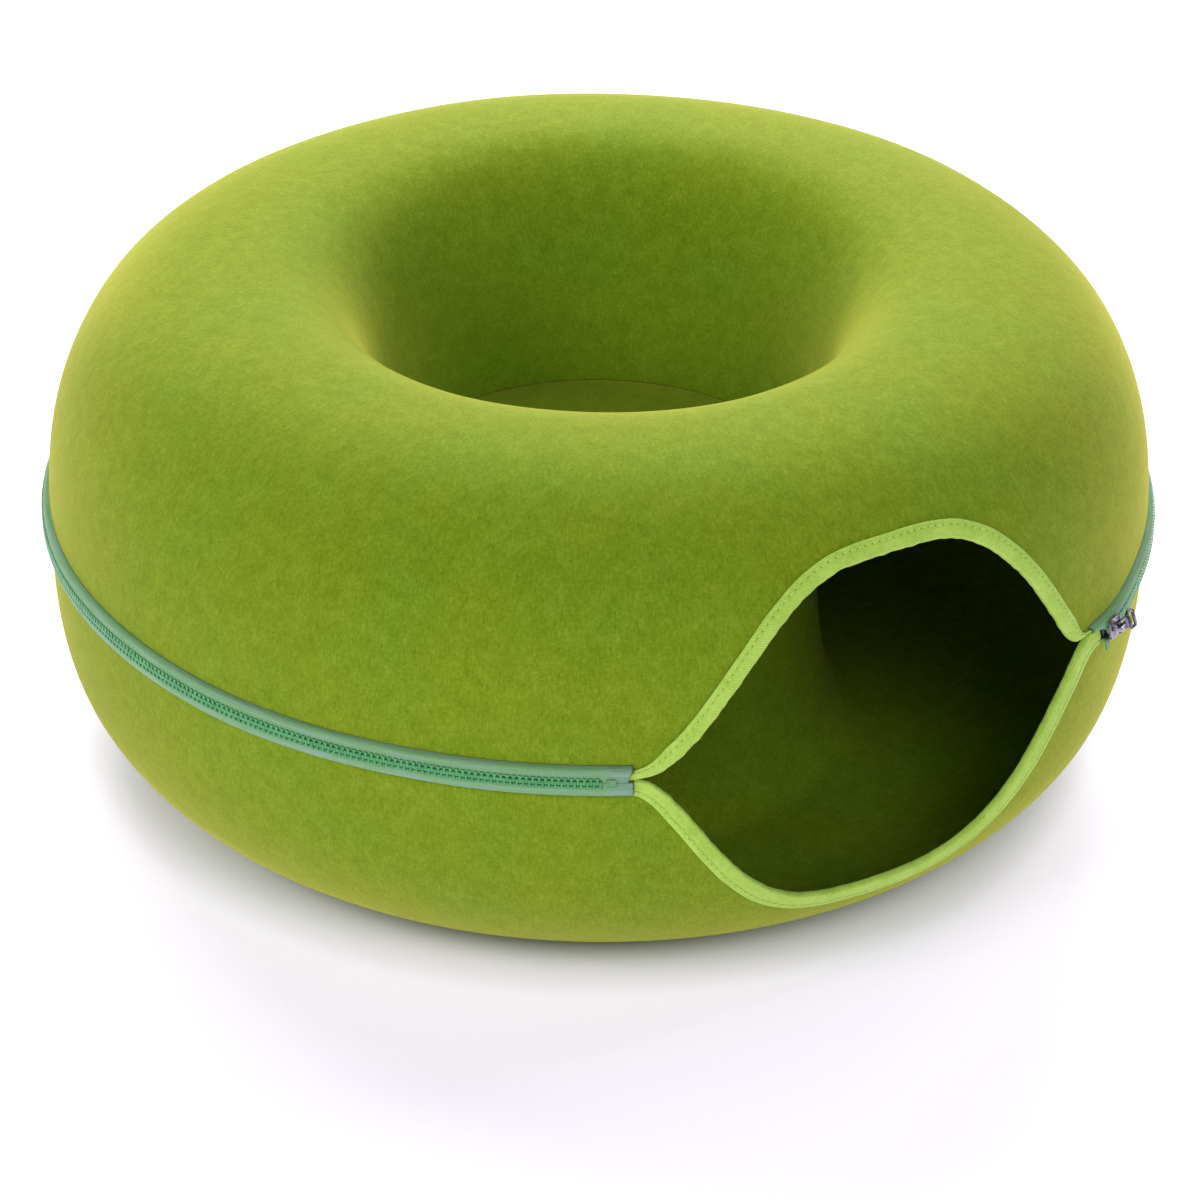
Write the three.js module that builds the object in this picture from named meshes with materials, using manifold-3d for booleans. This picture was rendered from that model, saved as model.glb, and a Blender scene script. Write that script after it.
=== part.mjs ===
// Cat tunnel bed: a hollow felt ring moulded in two halves, which a zip joins round the outside.
// The door is cut out of both halves, and ribbed tape binds its edges.
// Millimetres, +Z up, with the door facing -Y. The origin is on the floor, under the middle of the whole bed.
// The ring's own axis stands a little in front of it, because the door takes the front of the ring away.
// A turn is an angle round that axis, in degrees from the door's middle towards +X.
import * as THREE from "three";
import { mergeVertices } from "three/addons/utils/BufferGeometryUtils.js";
import Module from "manifold-3d";

// Felt ring
const feltRadius = 300;
const feltThickness = 4;
const zipLevel = 145;
const crownHeight = 280;
const crownRadius = 188;
const flankFullness = 2.45;
const wellRadius = 117;
const wellFullness = 2.6;
const floorLevel = 148;
const baseRadius = 150;
const baseFullness = 3.05;
const feltSettle = 1.5;
const axisY = -8;
const clearance = 0.3;

// Zip
const seamOffset = 8.5;
const tapeThickness = 1;
const seamAllowance = 8;
const teethGap = 0.15;
const teethHeight = 3.3;
const teethThickness = 2.6;
const teethRadius = 304.4;
const cornerSpan = 0.08;
const stopSpan = 1.1;
const leftTeethTurn = 330.3;
const sliderTurn = 31;

// Door
const bindingWidth = 10;
const bindingThickness = 1;
const bindingGap = 0.5;
const cornerGap = 2;
const upperDoor = { from: -27, to: 27, depth: 96, breadth: 3.35, ease: 2.4, lean: 0.033 };
const lowerDoor = { from: -27, to: 29, depth: 90.5, breadth: 3.25, ease: 2.2, lean: -0.078 };

// Slider and pull, whose x runs along the zip and whose z is up
const sliderLength = 12;
const sliderWidth = 11;
const sliderTailWidth = 9;
const sliderPlate = 1.5;
const sliderGap = 0.4;
const backPlateShare = 0.86;
const neckLength = 2.4;
const neckWidth = 4;
const bridgeWidth = 2.2;
const bridgeInside = { length: 4.4, height: 3 };
const bridgeWall = 1.2;
const pullThickness = 1.4;
const pullLength = 13.5;
const pullEye = 4.8;
const pullHeadWidth = 6.6;
const pullWaistWidth = 5.6;
const pullEndWidth = 12;
const pullSwing = 16;
const pullTilt = 12;
const pullBarHeight = 1.7;

// Steps of the faces
const doorSteps = 30;
const cornerSteps = 3;
const cornerReach = 9;
const backSteps = 36;
const flankSteps = 7;
const wellSteps = 7;
const recessSteps = 6;

const wasm = await Module();
wasm.setup();

// A quarter of a superellipse from start to end. One of them lies straight beside the centre,
// and the other straight above or below it.
class RoundedQuarter extends THREE.Curve {
  constructor(centre, start, end, fullness) {
    super();
    this.centre = centre;
    this.toStart = start.clone().sub(centre);
    this.toEnd = end.clone().sub(centre);
    this.power = 2 / fullness;
    this.arcLengthDivisions = 400;
  }

  getPoint(t, target = new THREE.Vector2()) {
    const angle = (t * Math.PI) / 2;
    return target
      .copy(this.centre)
      .addScaledVector(this.toStart, Math.cos(angle) ** this.power)
      .addScaledVector(this.toEnd, Math.sin(angle) ** this.power);
  }
}

// The two halves of the ring: each flank starts at the zip, and side is 1 above the zip and -1 below it.
const upper = {
  side: 1,
  door: upperDoor,
  flank: new RoundedQuarter(
    new THREE.Vector2(crownRadius, zipLevel),
    new THREE.Vector2(feltRadius, zipLevel),
    new THREE.Vector2(crownRadius, crownHeight),
    flankFullness,
  ),
};
const lower = {
  side: -1,
  door: lowerDoor,
  flank: new RoundedQuarter(
    new THREE.Vector2(baseRadius, zipLevel),
    new THREE.Vector2(feltRadius, zipLevel),
    new THREE.Vector2(baseRadius, -feltSettle),
    baseFullness,
  ),
};

const wellWall = new RoundedQuarter(
  new THREE.Vector2(crownRadius, floorLevel + clearance),
  new THREE.Vector2(crownRadius, crownHeight),
  new THREE.Vector2(wellRadius, floorLevel + clearance),
  wellFullness,
);
const recessWall = new RoundedQuarter(
  new THREE.Vector2(baseRadius, floorLevel - feltThickness),
  new THREE.Vector2(baseRadius, 0),
  new THREE.Vector2(wellRadius, floorLevel - feltThickness),
  wellFullness,
);

// Where a curve, as far along as distance, lies depth millimetres under its outer face.
function onCurve(curve, side, distance, depth) {
  const share = THREE.MathUtils.clamp(distance / curve.getLength(), 0, 1);
  const point = curve.getPointAt(share);
  const tangent = curve.getTangentAt(share);
  point.x -= side * tangent.y * depth;
  point.y += side * tangent.x * depth;
  return point;
}

// The same on a half's flank, which lies flat where it meets the floor.
function onFlank(half, distance, depth) {
  const point = onCurve(half.flank, half.side, distance, depth);
  point.y = Math.max(point.y, depth, 0);
  return point;
}

function distanceAtHeight(half, height) {
  let near = 0;
  let far = half.flank.getLength();
  for (let step = 0; step < 40; step += 1) {
    const middle = (near + far) / 2;
    const reached = onCurve(half.flank, half.side, middle, 0).y;
    if ((reached - height) * half.side < 0) near = middle;
    else far = middle;
  }
  return near;
}

function turned(point, turn) {
  const angle = THREE.MathUtils.degToRad(turn);
  return new THREE.Vector3(point.x * Math.sin(angle), -point.x * Math.cos(angle), point.y);
}

// The felt's cut edge at the door: a bell that leans a little to one side and is flat at both corners.
function doorEdgeDistance(half, turn) {
  const { from, to, depth, breadth, ease, lean } = half.door;
  const across = THREE.MathUtils.clamp((2 * turn - from - to) / (to - from), -1, 1);
  const leant = across - lean * (1 - across * across);
  const bell = (1 - Math.abs(leant) ** breadth) ** ease;
  return distanceAtHeight(half, zipLevel + half.side * (cornerGap + depth * bell));
}

// The door's edge as a curve in space, so that its steps can be even along it.
class DoorEdge extends THREE.Curve {
  constructor(half) {
    super();
    this.half = half;
    this.arcLengthDivisions = 240;
  }

  turnAt(t) {
    return THREE.MathUtils.lerp(this.half.door.from, this.half.door.to, t);
  }

  getPoint(t) {
    const turn = this.turnAt(t);
    return turned(onFlank(this.half, doorEdgeDistance(this.half, turn), 0), turn);
  }
}

function evenSteps(from, to, steps) {
  return Array.from({ length: steps + 1 }, (_, k) => from + ((to - from) * k) / steps);
}

function doorTurns(half) {
  const edge = new DoorEdge(half);
  return evenSteps(0, 1, doorSteps).map((share) => edge.turnAt(edge.getUtoTmapping(share)));
}

// Turns from one end of the zip to the other, closer together near its ends.
function zipTurns(half) {
  const first = half.door.to + cornerSpan;
  const last = 360 + half.door.from - cornerSpan;
  return [
    ...evenSteps(first, first + cornerReach, cornerSteps),
    ...evenSteps(first + cornerReach, last - cornerReach, backSteps).slice(1, -1),
    ...evenSteps(last - cornerReach, last, cornerSteps),
  ];
}

// A closed solid between a front face and a back face, from rows of { front, back } points.
function slab(rows, closesRound) {
  const across = rows[0].length;
  const points = rows.flat().flatMap(({ front, back }) => [front, back]);
  const faces = [];
  const front = (row, column) => 2 * ((row % rows.length) * across + column);
  const back = (row, column) => front(row, column) + 1;
  const quad = (a, b, c, d) => {
    const even = points[a].distanceTo(points[c]) <= points[b].distanceTo(points[d]);
    if (even) faces.push([a, b, c], [a, c, d]);
    else faces.push([a, b, d], [b, c, d]);
  };
  const spans = closesRound ? rows.length : rows.length - 1;
  for (let row = 0; row < spans; row += 1) {
    const next = row + 1;
    for (let column = 0; column < across - 1; column += 1) {
      quad(front(row, column), front(next, column), front(next, column + 1), front(row, column + 1));
      quad(back(row, column), back(row, column + 1), back(next, column + 1), back(next, column));
    }
    const last = across - 1;
    quad(back(row, 0), back(next, 0), front(next, 0), front(row, 0));
    quad(front(row, last), front(next, last), back(next, last), back(row, last));
  }
  if (!closesRound) {
    const end = rows.length - 1;
    for (let column = 0; column < across - 1; column += 1) {
      quad(front(0, column), front(0, column + 1), back(0, column + 1), back(0, column));
      quad(back(end, column), back(end, column + 1), front(end, column + 1), front(end, column));
    }
  }
  return closedGeometry(points, faces);
}

// Merges points that coincide, drops faces that shrink to a line, and turns the faces outwards.
function closedGeometry(points, faces) {
  const loose = new THREE.BufferGeometry().setFromPoints(points);
  loose.setIndex(faces.flat());
  const merged = mergeVertices(loose, 1e-4);
  const index = merged.index.array;
  const corner = (k) => new THREE.Vector3().fromBufferAttribute(merged.attributes.position, k);
  const kept = [];
  let volume = 0;
  for (let k = 0; k < index.length; k += 3) {
    const [a, b, c] = index.slice(k, k + 3);
    if (a === b || b === c || c === a) continue;
    kept.push([a, b, c]);
    volume += corner(a).dot(corner(b).cross(corner(c)));
  }
  if (volume < 0) kept.forEach((face) => face.reverse());
  merged.setIndex(kept.flat());
  merged.computeVertexNormals();
  return merged;
}

// Columns of the flank at one turn: a narrow one along the edge, then even ones to the crown or the base.
function flankColumns(half, startDistance) {
  const hem = startDistance + bindingWidth + bindingThickness;
  const end = half.side > 0 ? half.flank.getLength() : distanceAtHeight(half, 0);
  return [startDistance, ...evenSteps(hem, end, flankSteps)].map((distance) => ({
    front: onFlank(half, distance, 0),
    back: onFlank(half, distance, feltThickness),
  }));
}

function wallColumns(curve, side, steps) {
  return evenSteps(0, curve.getLength(), steps).map((distance) => ({
    front: onCurve(curve, side, distance, 0),
    back: onCurve(curve, side, distance, feltThickness),
  }));
}

function shell(half, restOfProfile) {
  const zipDistance = distanceAtHeight(half, zipLevel + half.side * seamOffset);
  const row = (turn, distance) =>
    [...flankColumns(half, distance), ...restOfProfile].map(({ front, back }) => ({
      front: turned(front, turn),
      back: turned(back, turn),
    }));
  return slab(
    [
      ...doorTurns(half).map((turn) => row(turn, doorEdgeDistance(half, turn))),
      ...zipTurns(half).map((turn) => row(turn, zipDistance)),
    ],
    true,
  );
}

function upperShell() {
  return shell(upper, wallColumns(wellWall, 1, wellSteps).slice(1));
}

// Below the zip the felt runs on over the base ring, up the recess and across the well's floor.
function lowerShell() {
  const wall = wallColumns(recessWall, -1, recessSteps);
  wall.at(-1).back.y = floorLevel;
  const middle = {
    front: new THREE.Vector2(0, floorLevel - feltThickness),
    back: new THREE.Vector2(0, floorLevel),
  };
  return shell(lower, [...wall, middle]);
}

// The binding is folded over the cut edge.
// Into is how far a point lies from that edge, and depth how far it lies below the felt's outer face.
function binding(half) {
  const inner = bindingGap;
  const outer = bindingGap + bindingThickness;
  const tip = bindingWidth - outer;
  const soften = bindingThickness * 0.6;
  const farInner = feltThickness + inner;
  const farOuter = feltThickness + outer;
  const section = [
    { front: { into: tip, depth: -outer }, back: { into: tip, depth: -inner } },
    { front: { into: -outer + soften, depth: -outer }, back: { into: -inner, depth: -inner } },
    { front: { into: -outer, depth: -outer + soften }, back: { into: -inner, depth: -inner } },
    { front: { into: -outer, depth: farOuter - soften }, back: { into: -inner, depth: farInner } },
    { front: { into: -outer + soften, depth: farOuter }, back: { into: -inner, depth: farInner } },
    { front: { into: tip, depth: farOuter }, back: { into: tip, depth: farInner } },
  ];
  const nudge = 0.2;
  return slab(
    doorTurns(half).map((turn) => {
      const distance = doorEdgeDistance(half, turn);
      const radius = onFlank(half, distance, 0).x;
      const before = Math.max(turn - nudge, half.door.from);
      const after = Math.min(turn + nudge, half.door.to);
      const run = radius * THREE.MathUtils.degToRad(after - before);
      const climb = doorEdgeDistance(half, after) - doorEdgeDistance(half, before);
      const across = new THREE.Vector2(-climb, run).normalize();
      const place = ({ into, depth }) => {
        const sideways = THREE.MathUtils.radToDeg((into * across.x) / radius);
        const at = distance + into * across.y;
        const point = onCurve(half.flank, half.side, at, depth);
        return turned(point, turn + sideways);
      };
      return section.map(({ front, back }) => ({ front: place(front), back: place(back) }));
    }),
    false,
  );
}

// Pairs of points half a thickness to each side of a bent line.
function thickened(line, thickness) {
  const spans = line.slice(1).map((point, k) => point.clone().sub(line[k]).normalize());
  return line.map((point, k) => {
    const incoming = spans[Math.max(k - 1, 0)];
    const outgoing = spans[Math.min(k, spans.length - 1)];
    const along = incoming.clone().add(outgoing).normalize();
    const reach = thickness / 2 / along.dot(outgoing);
    const offset = new THREE.Vector2(along.y, -along.x).multiplyScalar(reach);
    return { front: point.clone().add(offset), back: point.clone().sub(offset) };
  });
}

// The turn that a length makes along the chain.
function chainTurn(length) {
  return THREE.MathUtils.radToDeg(length / teethRadius);
}

// A strip from the first of its own turns to the last, with the zip's turns between them.
function aroundZip(half, sectionAt, ownTurns) {
  const first = ownTurns.at(0);
  const last = ownTurns.at(-1);
  const between = zipTurns(half).filter((turn) => turn > first && turn < last);
  const turns = [...ownTurns, ...between].sort((a, b) => a - b);
  return slab(
    turns.map((turn) =>
      sectionAt(turn).map(({ front, back }) => ({ front: turned(front, turn), back: turned(back, turn) })),
    ),
    false,
  );
}

// A tape is sewn to the felt's inner face, comes out under its edge and arches over to the teeth.
// Past both ends of the chain it reaches the middle of the zip.
function zipTape(half) {
  const hidden = feltRadius - feltThickness - 2 * clearance - tapeThickness / 2;
  const seam = seamOffset - clearance - tapeThickness / 2;
  const chainStart = sliderTurn - chainTurn(sliderLength / 2 + clearance);
  const chainEnd = leftTeethTurn + stopSpan + chainTurn(2 * clearance);
  const sectionAt = (turn) => {
    const besideChain = turn >= chainStart && turn <= chainEnd;
    const line = [
      { radius: hidden, height: seamOffset + seamAllowance },
      { radius: hidden, height: seam },
      { radius: feltRadius - 0.6, height: seam },
      { radius: feltRadius + 2.3, height: seam - 2 },
      { radius: feltRadius + 3.2, height: teethGap + teethHeight + 2 * clearance },
      { radius: feltRadius + 3.2, height: besideChain ? teethGap + teethHeight + clearance : teethGap },
    ].map(({ radius, height }) => new THREE.Vector2(radius, zipLevel + half.side * height));
    return thickened(line, tapeThickness);
  };
  return aroundZip(half, sectionAt, [
    half.door.to + cornerSpan + chainTurn(clearance),
    chainStart - cornerSpan,
    chainStart,
    chainEnd,
    chainEnd + cornerSpan,
    360 + half.door.from - cornerSpan - chainTurn(clearance),
  ]);
}

function teethSection(lowest, highest) {
  return [lowest, highest].map((height) => ({
    front: new THREE.Vector2(teethRadius, zipLevel + height),
    back: new THREE.Vector2(teethRadius - teethThickness, zipLevel + height),
  }));
}

// The rows run into the slider, up to its neck.
function zipTeeth(half) {
  const section = teethSection(half.side * teethGap, half.side * (teethGap + teethHeight));
  const first = sliderTurn - chainTurn(sliderLength / 2 - neckLength - 1);
  return aroundZip(half, () => section, [first, leftTeethTurn]);
}

function zipStop() {
  const span = teethGap + teethHeight;
  const first = leftTeethTurn + chainTurn(clearance);
  return aroundZip(upper, () => teethSection(-span, span), [first, first + stopSpan]);
}

// A closed geometry as a solid that can be joined, and back again.
function asSolid(geometry) {
  const bare = geometry.clone();
  bare.deleteAttribute("normal");
  bare.deleteAttribute("uv");
  const merged = mergeVertices(bare, 1e-4);
  const mesh = new wasm.Mesh({
    numProp: 3,
    vertProperties: merged.attributes.position.array,
    triVerts: new Uint32Array(merged.index.array),
  });
  return new wasm.Manifold(mesh);
}

function asGeometry(solid) {
  const mesh = solid.getMesh();
  const geometry = new THREE.BufferGeometry();
  geometry.setAttribute("position", new THREE.BufferAttribute(mesh.vertProperties, 3));
  geometry.setIndex(new THREE.BufferAttribute(mesh.triVerts, 1));
  geometry.computeVertexNormals();
  return geometry;
}

// A flat plate cut to an outline in x and z, from y = near to y = near - thickness.
function plate(outline, thickness, near) {
  const geometry = new THREE.ExtrudeGeometry(outline, {
    depth: thickness,
    bevelEnabled: false,
    curveSegments: 8,
  });
  return geometry.rotateX(Math.PI / 2).translate(0, near, 0);
}

// The slider's frame: y = 0 is the teeth's outer face, and -y points away from the bed.
function zipSlider() {
  const half = sliderLength / 2;
  const wide = sliderWidth / 2;
  const narrow = sliderTailWidth / 2;
  const outline = new THREE.Shape([
    new THREE.Vector2(-half, -wide * 0.7),
    new THREE.Vector2(-half * 0.7, -wide),
    new THREE.Vector2(0, -wide),
    new THREE.Vector2(half * 0.8, -narrow),
    new THREE.Vector2(half, -narrow * 0.7),
    new THREE.Vector2(half, narrow * 0.7),
    new THREE.Vector2(half * 0.8, narrow),
    new THREE.Vector2(0, wide),
    new THREE.Vector2(-half * 0.7, wide),
    new THREE.Vector2(-half, wide * 0.7),
  ]);
  const behind = teethThickness + sliderGap;
  const front = plate(outline, sliderPlate, -sliderGap);
  const back = plate(outline, sliderPlate, behind + sliderPlate).scale(1, 1, backPlateShare);
  const neck = new THREE.BoxGeometry(neckLength, behind + sliderGap + sliderPlate, neckWidth);
  neck.translate(-half + neckLength / 2 + 0.4, (behind - sliderGap) / 2, 0);
  const face = -sliderGap - sliderPlate;
  const legX = bridgeInside.length / 2;
  const rise = bridgeInside.height;
  const arch = new THREE.Shape([
    new THREE.Vector2(-legX - bridgeWall, 0.5),
    new THREE.Vector2(-legX - bridgeWall, -rise * 0.5),
    new THREE.Vector2(-legX, -rise - bridgeWall),
    new THREE.Vector2(legX, -rise - bridgeWall),
    new THREE.Vector2(legX + bridgeWall, -rise * 0.5),
    new THREE.Vector2(legX + bridgeWall, 0.5),
    new THREE.Vector2(legX, 0.5),
    new THREE.Vector2(legX, -rise),
    new THREE.Vector2(-legX, -rise),
    new THREE.Vector2(-legX, 0.5),
  ]);
  const bridge = new THREE.ExtrudeGeometry(arch, { depth: bridgeWidth, bevelEnabled: false });
  bridge.translate(0, face, -bridgeWidth / 2);
  return asGeometry([back, neck, bridge].reduce((body, piece) => body.add(asSolid(piece)), asSolid(front)));
}

// The pull: a bar in the bridge, two arms and a wide end with a slot. It lies along x from its bar at x = 0.
function zipPull() {
  const head = pullHeadWidth / 2;
  const waist = pullWaistWidth / 2;
  const end = pullEndWidth / 2;
  const bar = 1.3;
  const flare = pullLength - 3.2;
  const outline = new THREE.Shape();
  outline.moveTo(-bar / 2, -head + 0.8);
  outline.lineTo(0, -head);
  outline.lineTo(pullEye, -head);
  outline.quadraticCurveTo(pullEye + 1, -waist, pullEye + 2, -waist);
  outline.quadraticCurveTo(flare - 1, -waist, flare, -end + 0.4);
  outline.quadraticCurveTo(pullLength - 1, -end - 0.4, pullLength - 0.8, -end + 2);
  outline.quadraticCurveTo(pullLength + 0.8, 0, pullLength - 0.8, end - 2);
  outline.quadraticCurveTo(pullLength - 1, end + 0.4, flare, end - 0.4);
  outline.quadraticCurveTo(flare - 1, waist, pullEye + 2, waist);
  outline.quadraticCurveTo(pullEye + 1, waist, pullEye, head);
  outline.lineTo(0, head);
  outline.lineTo(-bar / 2, head - 0.8);
  const side = bridgeWidth / 2 + 2 * clearance;
  const eye = new THREE.Path([
    new THREE.Vector2(bar / 2, -side),
    new THREE.Vector2(pullEye, -side),
    new THREE.Vector2(pullEye, side),
    new THREE.Vector2(bar / 2, side),
  ]);
  const slot = new THREE.Path();
  slot.absellipse(flare + 0.3, 0, 1.2, end - 2.2, 0, 2 * Math.PI);
  outline.holes.push(eye, slot);
  return plate(outline, pullThickness, pullThickness / 2);
}

const felt = new THREE.MeshStandardMaterial({ color: "#86a32b", roughness: 0.95, metalness: 0 });
const ribbedTape = new THREE.MeshStandardMaterial({ color: "#a9d24b", roughness: 0.8, metalness: 0 });
const zipCloth = new THREE.MeshStandardMaterial({ color: "#7fb286", roughness: 0.75, metalness: 0 });
const teethPlastic = new THREE.MeshStandardMaterial({ color: "#4fb56c", roughness: 0.4, metalness: 0 });
const sliderMetal = new THREE.MeshStandardMaterial({ color: "#8d8b97", roughness: 0.3, metalness: 0.9 });

function named(name, geometry, material) {
  const mesh = new THREE.Mesh(geometry, material);
  mesh.name = name;
  return mesh;
}

const bed = new THREE.Group();
bed.add(
  named("upper_shell", upperShell(), felt),
  named("lower_shell", lowerShell(), felt),
  named("door_binding_upper", binding(upper), ribbedTape),
  named("door_binding_lower", binding(lower), ribbedTape),
  named("zip_tape_upper", zipTape(upper), zipCloth),
  named("zip_tape_lower", zipTape(lower), zipCloth),
  named("zip_teeth_upper", zipTeeth(upper), teethPlastic),
  named("zip_teeth_lower", zipTeeth(lower), teethPlastic),
  named("zip_stop", zipStop(), teethPlastic),
);

// The slider sits on the chain at the door's right corner, and its pull stands out from the bridge.
const slider = new THREE.Group();
slider.position.copy(turned(new THREE.Vector2(teethRadius, zipLevel), sliderTurn));
slider.rotation.z = THREE.MathUtils.degToRad(sliderTurn);
const pull = named("zip_pull", zipPull(), sliderMetal);
pull.position.y = -sliderGap - sliderPlate - pullBarHeight;
pull.rotation.set(-THREE.MathUtils.degToRad(pullTilt), 0, -THREE.MathUtils.degToRad(pullSwing));
slider.add(named("zip_slider", zipSlider(), sliderMetal), pull);
bed.add(slider);
bed.position.y = axisY;

export default bed;
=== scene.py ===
"""A round felt cat bed: a hollow ring with an arched door, a sunken nest and a zip round its middle.

Metres, +Z up, with the door facing -Y. A turn is an angle round the ring's own axis,
in degrees from the door's middle towards +X.
"""
import math

import bmesh
import bpy
import numpy as np
from mathutils import Matrix, Vector, noise


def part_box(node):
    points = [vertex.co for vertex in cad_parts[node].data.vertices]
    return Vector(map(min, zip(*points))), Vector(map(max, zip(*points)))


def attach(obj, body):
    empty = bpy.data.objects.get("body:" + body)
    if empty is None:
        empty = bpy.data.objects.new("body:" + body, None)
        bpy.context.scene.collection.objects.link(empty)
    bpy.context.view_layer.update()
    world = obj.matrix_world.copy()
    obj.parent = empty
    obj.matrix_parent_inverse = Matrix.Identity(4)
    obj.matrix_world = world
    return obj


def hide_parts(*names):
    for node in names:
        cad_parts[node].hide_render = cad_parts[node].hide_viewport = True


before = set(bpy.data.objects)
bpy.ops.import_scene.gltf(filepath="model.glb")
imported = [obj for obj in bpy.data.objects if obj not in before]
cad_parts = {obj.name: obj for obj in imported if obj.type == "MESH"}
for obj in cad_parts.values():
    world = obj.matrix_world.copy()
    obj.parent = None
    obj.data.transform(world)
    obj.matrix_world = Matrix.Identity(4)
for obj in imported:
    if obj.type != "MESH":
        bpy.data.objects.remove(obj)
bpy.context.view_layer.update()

# Felt ring
FELT_RADIUS = 0.300
FELT_THICKNESS = 0.004
ZIP_LEVEL = 0.145
CROWN_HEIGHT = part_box("upper_shell")[1].z
CROWN_RADIUS = 0.188
TUNNEL_RADIUS = 0.208
FLANK_FULLNESS = 2.45
WELL_RADIUS = 0.117
WELL_FULLNESS = 2.6
FLOOR_LEVEL = 0.148
BASE_RADIUS = 0.150
BASE_FULLNESS = 3.05
FELT_SETTLE = 0.0015
AXIS_Y = -0.008
CLEARANCE = 0.0003
CUT_ROUNDING = 0.0012
FOLD_ROUNDING = 0.001
FOOT_ROUNDING = 0.0002

# Unevenness of the felt. Up to the first height over the floor and the first distance from the well it lies
# still, and past the second ones its waves are at their full height.
WAVE_HEIGHT = 0.0009
WAVE_LENGTH = 0.11
STILL_HEIGHTS = (0.012, 0.06)
STILL_DISTANCES = (0.006, 0.03)
# The zip's end makes it bulge beside the door and lifts the door's right corner
BULGE_TURN = 31.0
BULGE_HEIGHT = 0.003
BULGE_SPREAD = 6.5
BULGE_RISE = 0.024
CORNER_TURN = 27.0
CORNER_RISE = 0.006
CORNER_SPREAD = 2.6
CORNER_REACH = 0.018

# Zip
SEAM_OFFSET = 0.0085
SEAM_ALLOWANCE = 0.008
TAPE_THICKNESS = 0.0008
TEETH_RADIUS = 0.3044
TEETH_THICKNESS = 0.0026
CHAIN_RISE = 0.0007
TOOTH_PITCH = 0.0032
SLIDER_TURN = 30.5
STOP_TURN = 330.85
RIGHT_TEETH_TURN = SLIDER_TURN - 1.2
LEFT_TEETH_TURN = 330.3
CORNER_SPAN = 0.08
FILM_LENGTH = 0.0125
FILM_FADE = 0.0015

# Zip tapes in section: how far out of the felt they stand, and how far from the zip's middle they bend
TAPE_TURN_UNDER = 0.002
TAPE_SHOULDER = 0.0024
TAPE_SHOULDER_DROP = 0.0004
TAPE_ARCH = 0.0031
TAPE_CREST = 0.005
TAPE_EDGE = 0.0019
TAPE_EDGE_PAST_TEETH = 0.00012
# The turns between which a tape's edge draws back for the teeth, at the slider and at the stop
TAPE_OPENS = (SLIDER_TURN - 1.3, SLIDER_TURN - 1.1)
TAPE_CLOSES = (LEFT_TEETH_TURN - 0.35, LEFT_TEETH_TURN - 0.25)
# The lower tape's end at the slider, as (out of the felt, past the seam), and the degrees that it takes
HANGING_TAPE = ((0.0024, -0.0017), (0.0048, -0.0010), (0.0052, 0.003))
HANGING_SPAN = 1.0
TAPE_END_SPAN = 3

# A tooth's head, and its further steps as (rise, share of the width, share of the depth)
TOOTH_HEAD_WIDTH = 0.0017
TOOTH_HEAD_HEIGHT = 0.0009
TOOTH_SINK = 0.0001
TOOTH_STEPS = ((-0.0006, 0.5, 0.8), (0.0011, 0.72, 0.9), (0.0007, 1.9, 1.1), (0.0009, 0.9, 1))
TOOTH_ROUNDING = 0.0002

# Door. Its shares say how much of the binding's width shows: at the left corner, near it, near the right
# corner and at that one.
CORNER_GAP = 0.002
UPPER_DOOR = {"from": -27, "to": 27, "depth": 0.095, "breadth": 3.35, "ease": 2.3, "lean": 0.053,
              "shares": (0.55, 1, 1, 0.35), "slant": 0.0028}
LOWER_DOOR = {"from": -27, "to": 29, "depth": 0.0918, "breadth": 3.25, "ease": 2.2, "lean": -0.07,
              "shares": (0.85, 1, 1.35, 0.9), "slant": 0.0}

# Bindings, and the felt's edge that they press thin
EDGE_THICKNESS = 0.0018
BINDING_WIDTH = 0.0078
BINDING_THICKNESS = 0.0008
BINDING_GAP = 0.0003
BINDING_FULLNESS = 0.5
BINDING_FLAT_FROM = 0.08
BINDING_TAPER = 0.024
BINDING_RIPPLE = 0.0003
RIPPLE_LENGTH = 0.012
BINDING_PUCKER = 0.0005
PUCKER_LENGTH = 0.0045
BINDING_PUFF = 0.0022
RIB_PITCH = 0.0012
RIB_SLANT = math.radians(-28)
SLANT_REACH = 0.014
STITCH_PITCH = 0.0042
STITCH_LENGTH = 0.0036
STITCH_WIDTH = 0.001
STITCH_INSET = 0.0028
STITCH_GROOVE = 0.0003
STITCH_GROOVE_WIDTH = 0.0009
GROOVE_UNDER_STITCH = 0.45
# Sizes of the painted shade in the needle holes
HOLE_RADIUS = 0.0008
HOLE_SHARE = 0.3

# Zip stop
STOP_LENGTH = 0.0046
STOP_HEIGHT = 0.0046
STOP_THICKNESS = 0.001
STOP_CHAMFER = 0.0002
STOP_FACE_SHARE = 0.84
STOP_RIM = 0.0007
STOP_DENT = 0.0003
STOP_WEAR = 0.00012

# Slider and pull: x runs along the zip, -y points out and z is up
SLIDER_LENGTH = 0.012
SLIDER_WIDTH = 0.011
SLIDER_PLATE = 0.0015
SLIDER_GAP = 0.0004
SLIDER_ROLL = math.radians(-8)
SLIDER_BACK_SHARE = 0.88
SLIDER_CORNER = 0.0009
SLIDER_RIM = 0.001
SLIDER_DENT = 0.0003
SLIDER_WEAR = 0.00015
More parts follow.
